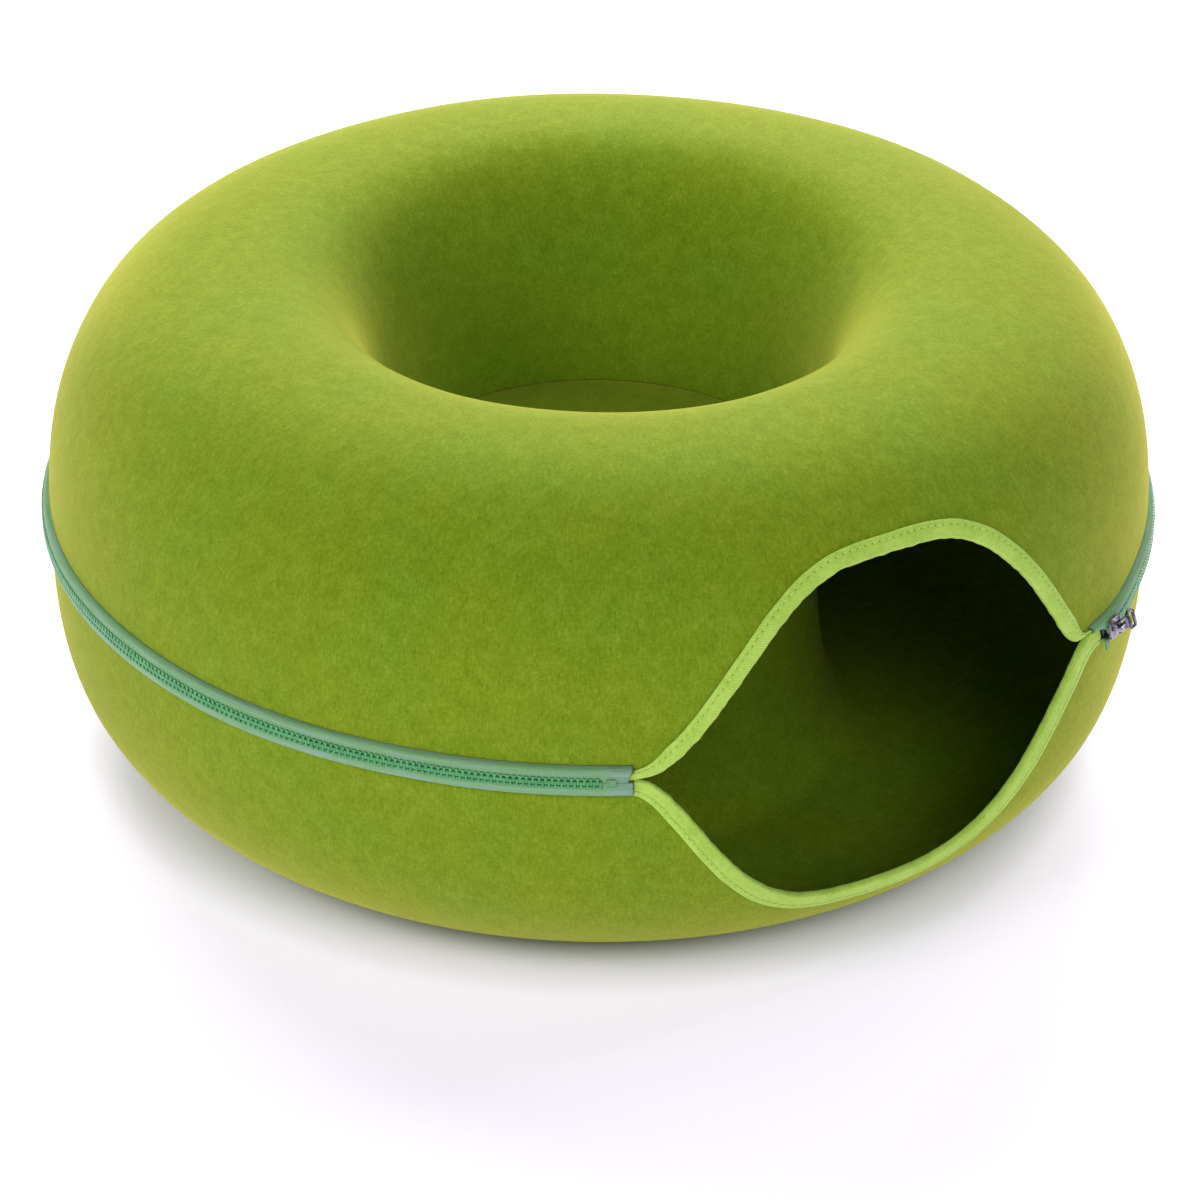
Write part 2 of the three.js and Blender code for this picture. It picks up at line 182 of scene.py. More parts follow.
# The plates' middle, and their further steps, as (share of the length, share of the width at its end)
PLATE_MIDDLE = 0.5
PLATE_STEPS = ((0.25, 0.82), (-0.15, 1), (-0.1, 0.7))
NECK_LENGTH = 0.0024
NECK_HEIGHT = 0.004
NECK_INSET = 0.0022
NECK_TIP = 0.0012
NECK_TIP_SHARE = 0.35
NECK_WEAR = 0.0002
BRIDGE_LENGTH = 0.0044
BRIDGE_HEIGHT = 0.003
BRIDGE_WALL = 0.0012
BRIDGE_WIDTH = 0.0022
BRIDGE_SINK = 0.0008
BRIDGE_BEND = 0.0005
BRIDGE_DROP = 0.0003
PULL_STANDOFF = 0.0017
PULL_THICKNESS = 0.0014
PULL_BAR = 0.0013
PULL_HEAD = 0.0066
PULL_RIM = 0.0004
PULL_SLOT_SHARE = 0.82
PULL_CORNER = 0.0008
PULL_WEAR = 0.00025
PULL_TILT = math.radians(12)
PULL_SWING = math.radians(16)
# The pull's outline from the far end of its eye on, as (place along it, width), and where its slot lies
PULL_OUTLINE = (
    (0.0060, 0.0066), (0.0068, 0.0060), (0.0075, 0.0076), (0.0081, 0.0096), (0.0085, 0.0102),
    (0.0121, 0.0102), (0.0128, 0.0092), (0.0132, 0.0072),
)
PULL_END = 0.0102
PULL_SLOT = (0.0086, 0.012)

# Studio
SOFTBOXES = {
    "back_right_light": {"turn": 141, "elevation": 32, "power": 68},
    "left_light": {"turn": 278, "elevation": 33, "power": 30},
    "front_light": {"turn": 352, "elevation": 38, "power": 23},
    "back_light": {"turn": 180, "elevation": 48, "power": 42},
    "right_light": {"turn": 98, "elevation": 50, "power": 28},
}
SOFTBOX_DISTANCE = 3.0
SOFTBOX_WIDTH = 1.4
SOFTBOX_HEIGHT = 1.1
WALL_LIGHT = 0.7
WALL_TOP = 0.1
CEILING_START = 0.6
DARK_WALL_TURN = 60
DARK_WALL_SHARE = 0.08
# The floor glows a little as painted light, growing from the bed's foot outwards to paint a shadow round it
FLOOR_SIZE = 16
FLOOR_DROP = 0.0002
FLOOR_GLOW = 0.48
FLOOR_GLOW_COLOUR = (0.89, 0.85, 1.0)
PAINTED_SHADOW_CORE = 0.237
PAINTED_SHADOW_EDGE = 0.288

# Shades, each as (place along the grain, colour) from dark to pale, and single colours
FELT_SHADES = ((0.38, (0.125, 0.203, 0.004)), (0.5, (0.178, 0.272, 0.01)), (0.62, (0.248, 0.342, 0.024)))
FELT_COOLER = (0.88, 1.0, 1.25)
FELT_NAP_COLOUR = (1, 0.87, 0.18)
FELT_GLINT_COLOUR = (1, 0.9, 0.12)
BINDING_SHADES = ((0.3, (0.33, 0.54, 0.058)), (0.5, (0.43, 0.65, 0.095)), (0.7, (0.52, 0.74, 0.15)))
# Painted shade that darkens the needle holes between the stitches
NEEDLE_HOLE_SHADE = (0.1, 0.2, 0.02)
THREAD_SHADES = ((0.3, (0.38, 0.6, 0.075)), (0.7, (0.48, 0.71, 0.13)))
TAPE_SHADES = ((0.3, (0.13, 0.3, 0.12)), (0.5, (0.185, 0.38, 0.17)), (0.7, (0.26, 0.45, 0.25)))
TAPE_TINT = (0.24, 0.38, 0.3)
FILM_SHADES = ((0.35, (0.13, 0.3, 0.16)), (0.65, (0.24, 0.38, 0.27)))
FILM_ROUGHNESS = ((0, (0.7, 0.7, 0.7)), (1, (0.45, 0.45, 0.45)))
TEETH_SHADES = ((0.3, (0.045, 0.27, 0.08)), (0.7, (0.08, 0.35, 0.115)))
STOP_SHADES = ((0.3, (0.11, 0.29, 0.13)), (0.7, (0.16, 0.35, 0.17)))
METAL_SHADES = ((0.35, (0.1, 0.09, 0.12)), (0.65, (0.46, 0.44, 0.52)))
FLOOR_SHADES = ((0.2, (0.9, 0.84, 0.94)), (0.8, (0.92, 0.86, 0.96)))

# Steps of the meshes
DOOR_STEPS = 72
BACK_STEPS = 190
BACK_CROWDING = 0.035
FLANK_START = 0.011
FLANK_STEPS = 34
WELL_STEPS = 22
FLOOR_STEPS = 8
BINDING_STEPS = 420
SECTION_STEPS = 13
TAPE_STEPS = 250
TAPE_END_STEPS = 16
CURVE_SAMPLES = 1200
EDGE_SAMPLES = 900
FLOOR_SAMPLES = 60
FOLD_SAMPLES = 12
# How close two points of a profile or of a mesh lie that count as one
SAME_PLACE = 1e-7
MERGE_REACH = 1e-6
# How closely a face or an edge points along a way to be chosen, as a cosine
ROUGHLY = 0.8
CLOSELY = 0.9
SHARP_ANGLE = math.radians(30)
SMOOTH_ANGLE = math.radians(40)

# Camera, at the photograph's viewing angle
CAMERA_AZIMUTH = math.radians(-30.7)
CAMERA_ELEVATION = math.radians(30.702)
CAMERA_ROLL = math.radians(0.682)
CAMERA_DISTANCE = 2.5476
CAMERA_SIDESTEP = 0.00159
CAMERA_AIM_HEIGHT = 0.07091
CAMERA_LENS = 136.797
CAMERA_SENSOR = 36.0


# Profiles
def run_lengths(points):
    """How far along a line each of its points lies."""
    return np.append(0, np.cumsum(np.linalg.norm(np.diff(points, axis=0), axis=1)))


class Profile:
    """One half of the ring in section, from the zip inwards: its outer face as (radius, height) points.

    Side is 1 for the half above the zip and -1 for the half below it.
    """

    def __init__(self, side, door, flank, rest, tight_folds=()):
        """Tight folds are points that the meshes must not cut off."""
        self.side = side
        self.door = door
        self.flank = flank
        points = np.vstack([flank, rest])
        steps = np.linalg.norm(np.diff(points, axis=0), axis=1)
        keep = np.append(True, steps > SAME_PLACE)
        self.points = points[keep]
        self.distances = run_lengths(self.points)
        tangents = np.gradient(self.points, self.distances, axis=0)
        self.tangents = tangents / np.linalg.norm(tangents, axis=1)[:, None]
        self.flank_length = np.linalg.norm(np.diff(flank, axis=0), axis=1).sum()
        self.length = self.distances[-1]
        nearest = [np.argmin(np.linalg.norm(self.points - point, axis=1)) for point in tight_folds]
        self.folds = self.distances[nearest] if nearest else np.empty(0)

    def at(self, distance, depth):
        """Radius and height, as far along as distance and depth under the outer face."""
        radius, height = (np.interp(distance, self.distances, self.points[:, k]) for k in (0, 1))
        outward, upward = (np.interp(distance, self.distances, self.tangents[:, k]) for k in (0, 1))
        radius = radius - self.side * upward * depth
        height = height + self.side * outward * depth
        return np.maximum(radius, 0), height

    def distance_at_height(self, height):
        """How far along the flank a height is reached."""
        order = slice(None, None, self.side)
        return np.interp(height, self.flank[order, 1], run_lengths(self.flank)[order])

    def zip_edge(self):
        return self.distance_at_height(ZIP_LEVEL + self.side * SEAM_OFFSET)

    def door_edge(self, turn):
        """The felt's cut edge at the door: a bell that leans a little and is flat at both corners."""
        start, end = self.door["from"], self.door["to"]
        across = np.clip((2 * turn - start - end) / (end - start), -1, 1)
        leant = across - self.door["lean"] * (1 - across**2)
        bell = np.maximum(1 - np.abs(leant) ** self.door["breadth"], 0) ** self.door["ease"]
        return self.distance_at_height(ZIP_LEVEL + self.side * (CORNER_GAP + self.door["depth"] * bell))


def rounded_quarter(centre, start, end, fullness):
    """A quarter of a superellipse, with its points closer together at both ends."""
    share = 0.5 - 0.5 * np.cos(np.linspace(0, math.pi, CURVE_SAMPLES))
    angle = share * math.pi / 2
    power = 2 / fullness
    centre, start, end = (np.array(point) for point in (centre, start, end))
    to_start = np.outer(np.maximum(np.cos(angle), 0) ** power, start - centre)
    to_end = np.outer(np.sin(angle) ** power, end - centre)
    return centre + to_start + to_end


def upper_profile():
    flank = rounded_quarter(
        (CROWN_RADIUS, ZIP_LEVEL), (FELT_RADIUS, ZIP_LEVEL), (CROWN_RADIUS, CROWN_HEIGHT), FLANK_FULLNESS
    )
    foot = FLOOR_LEVEL + FOOT_ROUNDING / 2
    well = rounded_quarter(
        (CROWN_RADIUS, foot), (CROWN_RADIUS, CROWN_HEIGHT), (WELL_RADIUS, foot), WELL_FULLNESS
    )
    return Profile(1, UPPER_DOOR, flank, well)


def lower_profile():
    """The lower half also runs up the recess and across the nest's floor."""
    flank = rounded_quarter(
        (BASE_RADIUS, ZIP_LEVEL), (FELT_RADIUS, ZIP_LEVEL), (BASE_RADIUS, -FELT_SETTLE), BASE_FULLNESS
    )
    standing = flank[flank[:, 1] > 0]
    under = FLOOR_LEVEL - FELT_THICKNESS
    recess = rounded_quarter((BASE_RADIUS, under), (BASE_RADIUS, 0), (WELL_RADIUS, under), WELL_FULLNESS)
    recess = recess[recess[:, 1] < under - FOLD_ROUNDING]
    angle = np.linspace(0, math.pi / 2, FOLD_SAMPLES)
    fold = np.column_stack([
        WELL_RADIUS - FOLD_ROUNDING * (1 - np.cos(angle)),
        under - FOLD_ROUNDING * (1 - np.sin(angle)),
    ])
    radii = np.linspace(WELL_RADIUS - FOLD_ROUNDING, 0, FLOOR_SAMPLES)[1:]
    floor = np.column_stack([radii, np.full_like(radii, under)])
    near_fold = 3 * FOLD_ROUNDING
    beside = [(WELL_RADIUS, under - near_fold), (WELL_RADIUS - near_fold, under)]
    return Profile(-1, LOWER_DOOR, standing, np.vstack([recess, fold, floor]), [*fold[::2], *beside])


UPPER = upper_profile()
LOWER = lower_profile()


def turned(radius, height, turn):
    """Points in space, as an array whose last axis is x, y, z."""
    angle = np.radians(turn)
    return np.stack([radius * np.sin(angle), AXIS_Y - radius * np.cos(angle), height + 0 * angle], axis=-1)


def eased(value, low, high):
    """From 0 at the low value to 1 at the high one, with a soft start and end."""
    share = np.clip((value - low) / (high - low), 0, 1)
    return share * share * (3 - 2 * share)


def near_turn(turn, middle, spread):
    """1 at the middle turn, and less and less beside it."""
    return np.exp(-(((turn - middle + 180) % 360 - 180) / spread) ** 2)


def swell(points, turn):
    """How far the felt stands out of its moulded form. It lies still where it rests on something."""
    waves = np.array([noise.noise(Vector(point) / WAVE_LENGTH) for point in points.reshape(-1, 3)])
    radius = np.hypot(points[..., 0], points[..., 1] - AXIS_Y)
    height = points[..., 2]
    free = eased(height, *STILL_HEIGHTS) * eased(radius - WELL_RADIUS, *STILL_DISTANCES)
    bulge = BULGE_HEIGHT * near_turn(turn, BULGE_TURN, BULGE_SPREAD)
    bulge = bulge * np.exp(-(((height - ZIP_LEVEL) / BULGE_RISE) ** 2))
    return WAVE_HEIGHT * waves.reshape(radius.shape) * free + bulge * (radius > CROWN_RADIUS)


def corner_lift(points, turn):
    """Points with those at the door's right corner lifted. Above the zip they are pressed together."""
    radius = np.hypot(points[..., 0], points[..., 1] - AXIS_Y)
    height = points[..., 2] - ZIP_LEVEL
    above = np.clip(1 - height / SEAM_OFFSET, 0, 1)
    below = np.exp(-((height / CORNER_REACH) ** 2))
    share = np.where(height > 0, above, below) * (radius > CROWN_RADIUS)
    lifted = points.copy()
    lifted[..., 2] += CORNER_RISE * near_turn(turn, CORNER_TURN, CORNER_SPREAD) * share
    return lifted


def on_bed(half, turn, distance, depth):
    """Points on a half, at turns and distances along its profile, depth under its outer face."""
    turn, distance, depth = np.broadcast_arrays(turn, distance, depth)
    lift = swell(turned(*half.at(distance, 0), turn), turn)
    return corner_lift(turned(*half.at(distance, depth - lift), turn), turn)


def on_zip(turn, height, radius):
    """Points beside the zip, at heights above its level. They follow the felt's bulge."""
    turn, height, radius = np.broadcast_arrays(turn, height, radius)
    base = turned(np.full_like(turn, FELT_RADIUS), np.full_like(turn, ZIP_LEVEL), turn)
    return corner_lift(turned(radius + swell(base, turn), ZIP_LEVEL + height, turn), turn)


def door_run(half):
    """Turns close together along a door's cut edge, and how far along it each lies."""
    turns = np.linspace(half.door["from"], half.door["to"], EDGE_SAMPLES)
    edge = turned(*half.at(half.door_edge(turns), 0), turns)
    return turns, run_lengths(edge)


def door_turns(half):
    """Turns from one door corner to the other, at even steps along the cut edge."""
    turns, along = door_run(half)
    return np.interp(np.linspace(0, along[-1], DOOR_STEPS + 1), along, turns)


def zip_span(half):
    """The turns between which a half meets the zip: from the door's right corner round to its left one."""
    return half.door["to"] + CORNER_SPAN, 360 + half.door["from"] - CORNER_SPAN


def zip_turns(half):
    """Turns round the back, closer together at both corners."""
    first, last = zip_span(half)
    share = np.linspace(0, 1, BACK_STEPS + 1)
    crowded = share - BACK_CROWDING * np.sin(2 * math.pi * share)
    return first + (last - first) * crowded


# Meshes
def new_object(name, mesh):
    piece = bpy.data.objects.new(name, mesh)
    bpy.context.scene.collection.objects.link(piece)
    return piece


def swept(name, sections, along, across, closes_round):
    """A skin over rows of section loops, with a UV map in metres.

    Along gives each row's place on the piece, and across each loop point's, with one more
    of each for the way back to the first.
    """
    rows, count = sections.shape[:2]
    faces = []
    corners = []
    for row in range(rows if closes_round else rows - 1):
        following = (row + 1) % rows
        for column in range(count):
            beside = (column + 1) % count
            faces.append((row * count + column, following * count + column,
                          following * count + beside, row * count + beside))
            corners += [
                (along[row], across[row][column]), (along[row + 1], across[following][column]),
                (along[row + 1], across[following][column + 1]), (along[row], across[row][column + 1]),
            ]
    if not closes_round:
        for row in (0, rows - 1):
            for column in range(count // 2 - 1):
                opposite = count - 1 - column
                face = [row * count + k for k in (column, column + 1, opposite - 1, opposite)]
                faces.append(tuple(face))
                corners += [(along[row], across[row][k - row * count]) for k in face]
    mesh = bpy.data.meshes.new(name)
    mesh.from_pydata(sections.reshape(-1, 3).tolist(), [], faces)
    layer = mesh.uv_layers.new(name="UVMap")
    layer.data.foreach_set("uv", np.array(corners, float).ravel())
    skin = bmesh.new()
    skin.from_mesh(mesh)
    bmesh.ops.remove_doubles(skin, verts=skin.verts, dist=MERGE_REACH)
    bmesh.ops.recalc_face_normals(skin, faces=skin.faces)
    skin.to_mesh(mesh)
    skin.free()
    mesh.shade_smooth()
    return new_object(name, mesh)


def rounded_edge(rounding, thickness):
    """A cut edge in section: (into the piece, depth) from the outer face to the inner one."""
    angle = np.radians([0, 30, 60, 90])
    into = rounding * (1 - np.sin(angle))
    depth = rounding * (1 - np.cos(angle))
    return np.append(into, into[::-1]), np.append(depth, thickness - depth[::-1])


def pressed_thickness(into, at_edge):
    """The felt's thickness this far into it, from what a binding presses its edge to."""
    return np.interp(into, (0, BINDING_WIDTH), (at_edge, FELT_THICKNESS))


def felt_loop(start, inside, end, at_edge, closed_middle):
    """One section loop of felt as distances and depths, from its cut edge round to that edge again."""
    into, depth = rounded_edge(CUT_ROUNDING, at_edge)
    outer = np.append(np.linspace(start + CUT_ROUNDING, inside[0], 4)[1:-1], inside)
    if closed_middle:
        far_distance, far_depth = np.array([end, end]), np.array([0, FELT_THICKNESS])
    else:
        far_into, far_depth = rounded_edge(FOOT_ROUNDING, FELT_THICKNESS)
        far_distance = end - far_into
    distances = np.concatenate([(start + into)[::-1], outer, far_distance, outer[::-1]])
    inner = pressed_thickness(outer - start, at_edge)[::-1]
    depths = np.concatenate([depth[::-1], 0 * outer, far_depth, inner])
    return distances, depths


def felt_shell(name, half, rest_steps, closed_middle):
    """One half of the ring, cut out at the door, with its rest up or down to the nest's floor."""
    turns = np.concatenate([door_turns(half), zip_turns(half)])
    on_door = np.arange(len(turns)) <= DOOR_STEPS
    starts = np.where(on_door, half.door_edge(turns), half.zip_edge())
    distances, depths = [], []
    rest = np.linspace(half.flank_length, half.length, rest_steps + 1)[1:-1]
    rest = np.sort(np.append(rest, half.folds))
    for start, bound in zip(starts, on_door):
        flank = np.linspace(start + FLANK_START, half.flank_length, FLANK_STEPS)
        at_edge = EDGE_THICKNESS if bound else FELT_THICKNESS
        loop = felt_loop(start, np.append(flank, rest), half.length, at_edge, closed_middle)
        distances.append(loop[0])
        depths.append(loop[1])
    distances, depths = np.array(distances), np.array(depths)
    sections = on_bed(half, turns[:, None], distances, depths)
    along = np.radians(np.append(turns, turns[0] + 360)) * FELT_RADIUS
    across = np.column_stack([distances, distances[:, 0]])
    return swept(name, sections, along, across, closes_round=True)


def thick_loop(line, thickness):
    """A closed loop half a thickness to each side of a line of section points."""
    steps = np.gradient(line, axis=0)
    steps /= np.linalg.norm(steps, axis=1)[:, None]
    offset = np.column_stack([steps[:, 1], -steps[:, 0]]) * thickness / 2
    return np.vstack([line + offset, (line - offset)[::-1]])


def loop_lengths(loop):
    """How far round a loop each point lies, with the whole way round at the end."""
    return run_lengths(np.vstack([loop, loop[:1]]))


def binding_line():
    """The folded tape's middle line as (into, depth), from its outer hem round the cut edge and back."""
    near = -BINDING_GAP - BINDING_THICKNESS / 2
    half_gap = EDGE_THICKNESS / 2 - near
    angle = np.linspace(0, math.pi, SECTION_STEPS)
    bulge = BINDING_FULLNESS * half_gap * np.sin(angle)
    fold = np.column_stack([near - bulge, near + half_gap * (1 - np.cos(angle))])
    reach = BINDING_WIDTH * np.linspace(1, BINDING_FLAT_FROM, SECTION_STEPS)
    outside = np.column_stack([reach, np.full_like(reach, near)])
    inside = np.column_stack([reach, pressed_thickness(reach, EDGE_THICKNESS) - near])[::-1]
    return np.vstack([outside, fold, inside])


def along_edge(half, turns):
    """The cut edge at these turns: distance, radius, and the way into the felt, sideways and inwards."""
    nudge = 0.15
    before = np.maximum(turns - nudge, half.door["from"])
    after = np.minimum(turns + nudge, half.door["to"])
    edge = half.door_edge(turns)
    radius = half.at(edge, 0)[0]
    run = radius * np.radians(after - before)
    climb = half.door_edge(after) - half.door_edge(before)
    size = np.hypot(run, climb)
    return edge, radius, -climb / size, run / size


def beside_edge(half, turns, into, depth, shift=0):
    """Points that lie into the felt from its cut edge, and depth under its outer face.

    Shift moves them along the edge, in metres.
    """
    edge, radius, sideways, inwards = (value[:, None] for value in along_edge(half, turns))
    turn = turns[:, None] + np.degrees((into * sideways + shift) / radius)
    return on_bed(half, turn, edge + into * inwards, depth)


def unevenness(along, length, lane):
    """Smooth noise from about -1 to 1 along a piece, with this length from crest to crest.

    Each lane has waves of its own.
    """
    return np.array([noise.noise(Vector((place / length, lane, 0.5))) for place in along])[:, None]


def on_binding(half, along, loop):
    """Points of a binding, from its section loop at places along the door's edge."""
    edge_turns, edge_along = door_run(half)
    turns = np.interp(along, edge_along, edge_turns)
    end = edge_along[-1]
    from_left = along[:, None]
    width = np.interp(from_left, (0, BINDING_TAPER, end - BINDING_TAPER, end), half.door["shares"])
    outside = np.where(loop[:, 1] < EDGE_THICKNESS / 2, 1, -1)
    hem = np.clip(loop[:, 0] / BINDING_WIDTH, 0, 1)
    hem_wave = unevenness(along, RIPPLE_LENGTH, half.side)
    back_wave = unevenness(along, RIPPLE_LENGTH, half.side + 3)
    fold_wave = unevenness(along, PUCKER_LENGTH, half.side + 6)
    into = np.where(loop[:, 0] > 0, loop[:, 0] * width, loop[:, 0])
    into = into + BINDING_RIPPLE * hem * np.where(outside > 0, hem_wave, back_wave)
    into = into - BINDING_PUCKER * (1 - hem) ** 2 * fold_wave
    between = np.cos(math.pi * from_left / STITCH_PITCH) ** 2
    pinch = GROOVE_UNDER_STITCH + (1 - GROOVE_UNDER_STITCH) * between
    off_seam = (1 - hem) * BINDING_WIDTH - STITCH_INSET
    groove = STITCH_GROOVE * pinch * np.exp(-((off_seam / STITCH_GROOVE_WIDTH) ** 2))
    puff = BINDING_PUFF * hem * (1 - hem) * (1 + hem_wave)
    slant = -half.door["slant"] * (1 - hem) * (1 - eased(from_left, 0, SLANT_REACH))
    return beside_edge(half, turns, into, loop[:, 1] - outside * (puff - groove), slant)


def binding_loop():
    return thick_loop(binding_line(), BINDING_THICKNESS)


def binding(name, half):
    """Ribbed tape folded over the felt's cut edge, with its hems rippled and its fold puckered."""
    loop = binding_loop()
    along = np.linspace(0, door_run(half)[1][-1], BINDING_STEPS + 1)
    across = np.tile(loop_lengths(loop), (len(along), 1))
    return swept(name, on_binding(half, along, loop), along, across, closes_round=False)


def stitches(name, half):
    """The row of stitches that holds a binding, from one door corner to the other."""
    middles = np.arange(STITCH_PITCH / 2, door_run(half)[1][-1], STITCH_PITCH)
    seam = BINDING_WIDTH - STITCH_INSET
    spots = np.array([(seam, -BINDING_GAP - BINDING_THICKNESS), (seam, 0)])
    top, under = np.moveaxis(on_binding(half, middles, spots), 1, 0)
    after = on_binding(half, middles + STITCH_LENGTH / 4, spots)[:, 0]
    places = []
    for spot, inside, following in zip(top, under, after):
        run = Vector(following - spot).normalized()
        out = Vector(spot - inside)
        out = (out - run * out.dot(run)).normalized()
        place = Matrix((run, out.cross(run), out)).transposed().to_4x4()
        place.translation = Vector(spot)
        places.append(place)
    return joined_copies(name, stitch_model(), places)


def softened(points, passes):
    """A line with its corners cut off, over and over."""
    line = np.array(points, float)
    for _ in range(passes):
        near = 0.75 * line[:-1] + 0.25 * line[1:]
        far = 0.25 * line[:-1] + 0.75 * line[1:]
        between = np.stack([near, far], axis=1).reshape(-1, 2)
        line = np.vstack([line[:1], between, line[-1:]])
    return line


def tape_line(half, turn):
    """A tape's middle line as (radius, distance from the zip's middle), from its sewn edge to its free one.

    At the slider the lower tape's end turns outwards and hangs down over the felt.
    """
    hidden = FELT_RADIUS - FELT_THICKNESS - 3 * CLEARANCE - TAPE_THICKNESS / 2
    seam = SEAM_OFFSET - CLEARANCE - TAPE_THICKNESS / 2
    sewn = [
        (hidden, SEAM_OFFSET + SEAM_ALLOWANCE),
        (hidden, SEAM_OFFSET + TAPE_TURN_UNDER),
        (hidden + TAPE_TURN_UNDER / 2, seam),
        (FELT_RADIUS + CLEARANCE, seam),
    ]
    inner = TAPE_EDGE if TAPE_OPENS[0] < turn < TAPE_CLOSES[1] else TAPE_EDGE_PAST_TEETH
    arched = sewn + [
        (FELT_RADIUS + TAPE_SHOULDER, seam - TAPE_SHOULDER_DROP),
        (FELT_RADIUS + TAPE_ARCH, TAPE_CREST),
        (FELT_RADIUS + TAPE_ARCH, inner),
    ]
    hanging = sewn + [(FELT_RADIUS + out, seam + past) for out, past in HANGING_TAPE]
    loose = 1 - eased(turn, SLIDER_TURN - HANGING_SPAN, SLIDER_TURN) if half.side < 0 else 0
    return softened((1 - loose) * np.array(arched) + loose * np.array(hanging), passes=2)


def zip_tape(name, half):
    """Sewn behind the felt's edge, out under it and arched over to the teeth."""
    first, last = zip_span(half)
    right_end = np.linspace(first, SLIDER_TURN + HANGING_SPAN, TAPE_END_STEPS)
    left_end = np.linspace(last - TAPE_END_SPAN, last, TAPE_END_STEPS)
    whole = np.linspace(first, last, TAPE_STEPS)
    turns = np.unique(np.concatenate([whole, TAPE_OPENS, TAPE_CLOSES, right_end, left_end]))
    sections, lengths = [], []
    for turn in turns:
        loop = thick_loop(tape_line(half, turn), TAPE_THICKNESS)
        to_end = FELT_RADIUS * math.radians(last - turn)
        share = np.clip(1 - loop[:, 1] / SEAM_OFFSET, 0, 1)
        slant = half.door["slant"] * (1 - eased(to_end, 0, SLANT_REACH)) * share
        height = half.side * loop[:, 1] + CHAIN_RISE * share
        sections.append(on_zip(turn - np.degrees(slant / FELT_RADIUS), height, loop[:, 0]))
        lengths.append(loop_lengths(loop))
    along = np.radians(turns) * FELT_RADIUS
    return swept(name, np.array(sections), along, np.array(lengths), closes_round=False)


# Hard pieces, modelled in edit mode
def start_box(name, size, centre):
    """A box at its size and place, in edit mode, to be shaped."""
    bpy.ops.object.select_all(action="DESELECT")
    bpy.ops.mesh.primitive_cube_add(size=1, location=centre, scale=size)
    bpy.ops.object.transform_apply(location=True, rotation=True, scale=True)
    piece = bpy.context.object
    piece.name = name
    piece.data.name = name
    bpy.ops.object.mode_set(mode="EDIT")
    return piece


def choose_faces(piece, wanted):
    """In edit mode, selects the faces whose middle and normal are wanted, and no others."""
    bpy.ops.mesh.select_mode(type="FACE")
    bpy.ops.mesh.select_all(action="DESELECT")
    edit = bmesh.from_edit_mesh(piece.data)
    for face in edit.faces:
        face.select_set(bool(wanted(face.calc_center_median(), face.normal)))
    edit.select_flush_mode()
    bmesh.update_edit_mesh(piece.data)


def choose_edges(piece, wanted):
    """In edit mode, selects the edges whose middle and direction are wanted, and no others."""
    bpy.ops.mesh.select_mode(type="EDGE")
    bpy.ops.mesh.select_all(action="DESELECT")
    edit = bmesh.from_edit_mesh(piece.data)
    for edge in edit.edges:
        first, second = (vertex.co for vertex in edge.verts)
        edge.select_set(bool(wanted((first + second) / 2, (second - first).normalized())))
    edit.select_flush_mode()
    bmesh.update_edit_mesh(piece.data)


def push_chosen(piece, wanted, move, shrink=(1, 1, 1)):
    """Extrudes the wanted faces, and scales their end about its own middle."""
    choose_faces(piece, wanted)
    bpy.ops.mesh.extrude_region_move(TRANSFORM_OT_translate={"value": move})
    edit = bmesh.from_edit_mesh(piece.data)
    chosen = [face for face in edit.faces if face.select]
    middle = sum((face.calc_center_median() for face in chosen), Vector()) / len(chosen)
    bpy.ops.transform.resize(value=shrink, center_override=middle)


def push_face(piece, normal, move, shrink=(1, 1, 1)):
    """Extrudes the farthest face that looks along normal, and scales its end."""
    way = Vector(normal)
    edit = bmesh.from_edit_mesh(piece.data)
    far = max(way.dot(face.calc_center_median()) for face in edit.faces if way.dot(face.normal) > ROUGHLY)

    def farthest(middle, facing):
        return way.dot(facing) > ROUGHLY and way.dot(middle) > far - SAME_PLACE

    push_chosen(piece, farthest, move, shrink)


def cut_through(piece, wanted, rim, shrink=(1, 1, 1)):
    """Cuts a hole through a plate that faces -y and y, where its faces are wanted, inside this much rim."""
    choose_faces(piece, lambda middle, facing: abs(facing.y) > CLOSELY and wanted(middle))
    bpy.ops.mesh.inset(thickness=rim)
    edit = bmesh.from_edit_mesh(piece.data)
    chosen = [face.calc_center_median() for face in edit.faces if face.select]
    bpy.ops.transform.resize(value=shrink, center_override=sum(chosen, Vector()) / len(chosen))
    bpy.ops.mesh.bridge_edge_loops()


def softly_shaded(piece):
    bpy.ops.object.select_all(action="DESELECT")
    piece.select_set(True)
    bpy.context.view_layer.objects.active = piece
    bpy.ops.object.shade_smooth_by_angle(angle=SMOOTH_ANGLE)
    return piece


def worn(piece, rounding):
    """Ends a piece's shaping, rounds its sharp edges and shades it smooth."""
    bpy.ops.object.mode_set(mode="OBJECT")
    bpy.context.view_layer.objects.active = piece
    bevel = piece.modifiers.new("worn_edges", "BEVEL")
    bevel.width = rounding
    bevel.segments = 2
    bevel.limit_method = "ANGLE"
    bevel.angle_limit = SHARP_ANGLE
    bpy.ops.object.modifier_apply(modifier=bevel.name)
    return softly_shaded(piece)


def united(whole, others):
    """Makes one solid of a piece and others that reach into it."""
    bpy.context.view_layer.objects.active = whole
    for other in others:
        union = whole.modifiers.new("union", "BOOLEAN")
        union.operation = "UNION"
        union.solver = "EXACT"
        union.object = other
        bpy.ops.object.modifier_apply(modifier=union.name)
        bpy.data.objects.remove(other)
    return softly_shaded(whole)


